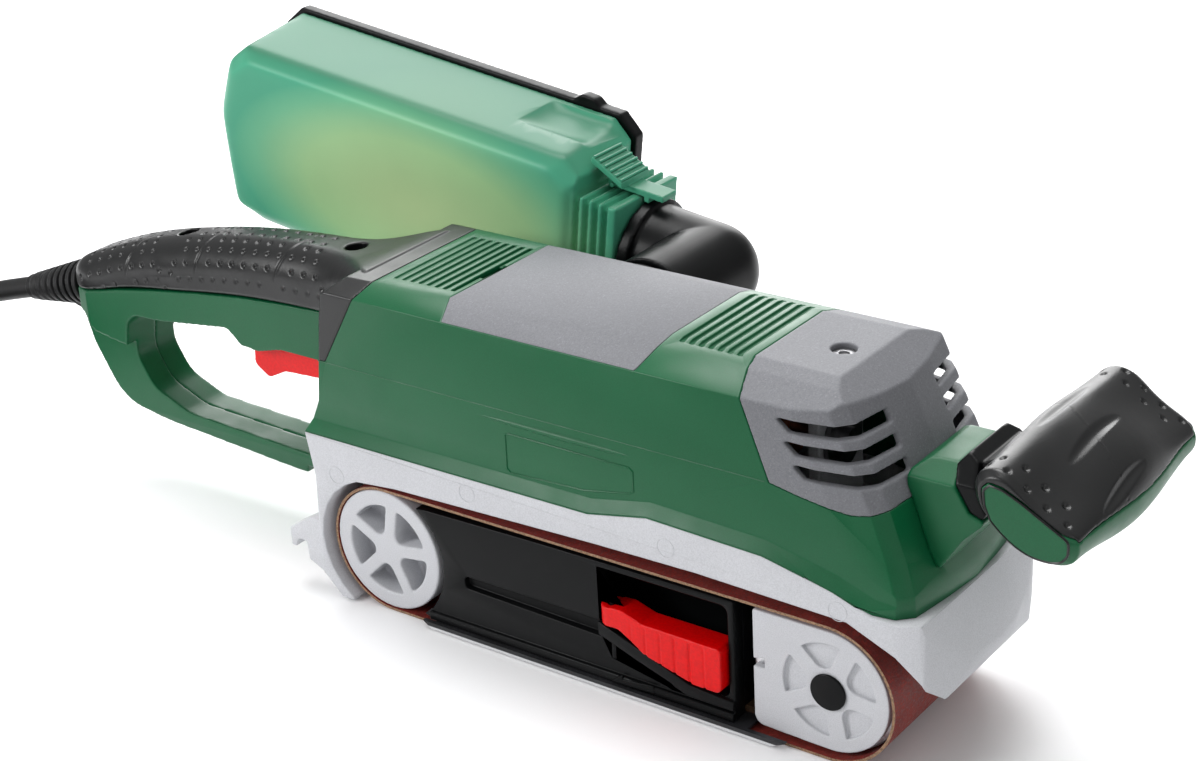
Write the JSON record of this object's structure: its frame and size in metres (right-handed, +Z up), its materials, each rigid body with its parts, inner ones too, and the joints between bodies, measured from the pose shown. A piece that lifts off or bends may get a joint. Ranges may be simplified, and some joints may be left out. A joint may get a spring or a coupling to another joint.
{
  "type": "handheld belt sander",
  "caption": "Corded handheld belt sander with a closed rear grip, a tilting front knob, a sprung belt carriage and a translucent dust box on a swivelling elbow.",
  "frame": {"origin": "on the ground under the sanding belt's flat run, midway between the two rollers and midway across the belt", "axes": "+X forwards towards the front knob, +Y towards the tool's left side with the dust box, +Z up"},
  "size_m": [0.6633, 0.237, 0.1749],
  "materials": {
    "green_shell": "finely textured moulded plastic",
    "grey_trim": "sparkling grey moulded plastic",
    "light_frame": "finely textured light grey plastic",
    "soft_grip": "soft-touch black with moulded dimples",
    "black_plastic": "black moulded plastic",
    "red_plastic": "semi-gloss red plastic",
    "abrasive": "coated abrasive on cloth",
    "steel": "plain steel",
    "copper": "copper segments",
    "carbon": "pressed carbon",
    "graphite": "graphite-coated cloth",
    "cork": "pressed cork",
    "aluminium_part": "die-cast aluminium",
    "rubber_part": "black rubber",
    "mint_box": "frosted translucent mint plastic",
    "filter_paper": "pleated filter paper",
    "cord_rubber": "smooth black cord sheath"
  },
  "bodies": {
    "body": {"motor_housing_shell": "green_shell", "nose_vent_cover": "grey_trim", "top_band": "grey_trim", "grip_cover": "soft_grip", "handle_shell_right": "green_shell", "handle_shell_left": "green_shell", "lower_frame": "light_frame", "sanding_belt": "abrasive", "graphite_pad": "graphite", "sole_plate": "steel", "cork_pad": "cork", "belt_chassis": "black_plastic", "side_guard": "black_plastic", "drive_cover": "black_plastic", "motor_stator": "steel", "ball_bearings": "steel", "brush_holders": "copper", "carbon_brushes": "carbon", "toothed_belt": "rubber_part", "tension_spring": "steel", "lever_pin": "black_plastic", "switch_module": "black_plastic", "cord_guard": "rubber_part", "handle_bracket": "green_shell", "handle_neck": "black_plastic", "dust_outlet": "black_plastic", "screws": "steel", "cord": "cord_rubber", "cord_coil": "cord_rubber", "plug": "cord_rubber"},
    "armature": {"armature_core": "steel", "motor_shaft": "steel", "commutator": "copper", "cooling_fan": "black_plastic"},
    "cross_drive": {"cross_shaft": "steel", "bevel_gear": "steel", "drive_pulley": "aluminium_part"},
    "drum": {"rear_drum": "light_frame", "drum_sleeve": "rubber_part", "drum_shaft": "steel", "driven_pulley": "light_frame"},
    "tension_carriage": {"tension_yoke": "aluminium_part", "yoke_cover": "light_frame", "roller_axle": "steel", "axle_cap": "black_plastic"},
    "front_wheel": {"front_roller": "aluminium_part"},
    "belt_lever": {"tension_lever": "red_plastic"},
    "tracking_adjuster": {"tracking_knob": "black_plastic"},
    "switch_trigger": {"trigger": "red_plastic"},
    "dial": {"speed_dial": "black_plastic"},
    "lock": {"lock_button": "red_plastic"},
    "knob": {"knob_grip": "soft_grip", "knob_base": "green_shell", "knob_pin": "steel"},
    "elbow": {"dust_elbow": "black_plastic"},
    "dust_box": {"dust_box_shell": "mint_box"},
    "lid": {"dust_box_lid": "black_plastic", "filter_cassette": "filter_paper"},
    "clip": {"box_clip": "mint_box"}
  },
  "joints": [
    {"name": "motor_spin", "type": "hinge", "parent": "body", "child": "armature", "pos_m": [0, 0, 0.098], "axis": [1, 0, 0], "continuous": true},
    {"name": "cross_spin", "type": "hinge", "parent": "body", "child": "cross_drive", "pos_m": [-0.084, 0, 0.098], "axis": [0, 1, 0], "continuous": true},
    {"name": "drum_spin", "type": "hinge", "parent": "body", "child": "drum", "pos_m": [-0.09351, 0, 0.0253], "axis": [0, 1, 0], "continuous": true},
    {"name": "carriage_slide", "type": "slide", "parent": "body", "child": "tension_carriage", "axis": [1, 0, 0], "range_m": [-0.005, 0], "deforming": ["tension_spring"]},
    {"name": "front_roller_spin", "type": "hinge", "parent": "tension_carriage", "child": "front_wheel", "pos_m": [0.09351, 0, 0.0253], "axis": [0, 1, 0], "continuous": true},
    {"name": "lever_pivot", "type": "hinge", "parent": "body", "child": "belt_lever", "pos_m": [0.0086, -0.0362, 0.03], "axis": [0, 0, 1], "range_deg": [-85.1, 0]},
    {"name": "tracking_turn", "type": "hinge", "parent": "body", "child": "tracking_adjuster", "pos_m": [0.036, 0.045, 0.034], "axis": [0, 1, 0], "range_deg": [-180, 180]},
    {"name": "trigger_slide", "type": "slide", "parent": "body", "child": "switch_trigger", "axis": [0, 0, 1], "range_m": [0, 0.0045], "stiffness_N_per_m": 1500, "springref_m": -0.001},
    {"name": "dial_turn", "type": "hinge", "parent": "switch_trigger", "child": "dial", "pos_m": [-0.15, 0, 0.0746], "axis": [0, 1, 0], "range_deg": [-120, 120]},
    {"name": "lock_press", "type": "slide", "parent": "body", "child": "lock", "axis": [0, -1, 0], "range_m": [0, 0.0025], "stiffness_N_per_m": 800, "springref_m": -0.001},
    {"name": "knob_tilt", "type": "hinge", "parent": "body", "child": "knob", "pos_m": [0.153, 0, 0.1095], "axis": [0, 1, 0], "range_deg": [-20, 20]},
    {"name": "elbow_swivel", "type": "hinge", "parent": "body", "child": "elbow", "pos_m": [-0.027, 0.08, 0.107], "axis": [0, 1, 0], "range_deg": [-20, 120]},
    {"name": "box_pull", "type": "slide", "parent": "elbow", "child": "dust_box", "axis": [-0.9914, 0, 0.1305], "range_m": [0, 0.026]},
    {"name": "lid_hinge", "type": "hinge", "parent": "dust_box", "child": "lid", "pos_m": [-0.26396, 0.1046, 0.1382], "axis": [0.1305, 0, 0.9914], "range_deg": [0, 100]},
    {"name": "clip_press", "type": "hinge", "parent": "dust_box", "child": "clip", "pos_m": [-0.06603, 0.08, 0.13614], "axis": [0, 1, 0], "range_deg": [-5, 0], "stiffness_Nm_per_rad": 0.5, "springref_deg": 171.89}
  ],
  "couplings": [
    {"joint": "motor_spin", "follows": "drum_spin", "ratio": 6.25},
    {"joint": "cross_spin", "follows": "drum_spin", "ratio": 2.5},
    {"joint": "lever_pivot", "follows": "carriage_slide", "rad_per_m": 296.7}
  ]
}
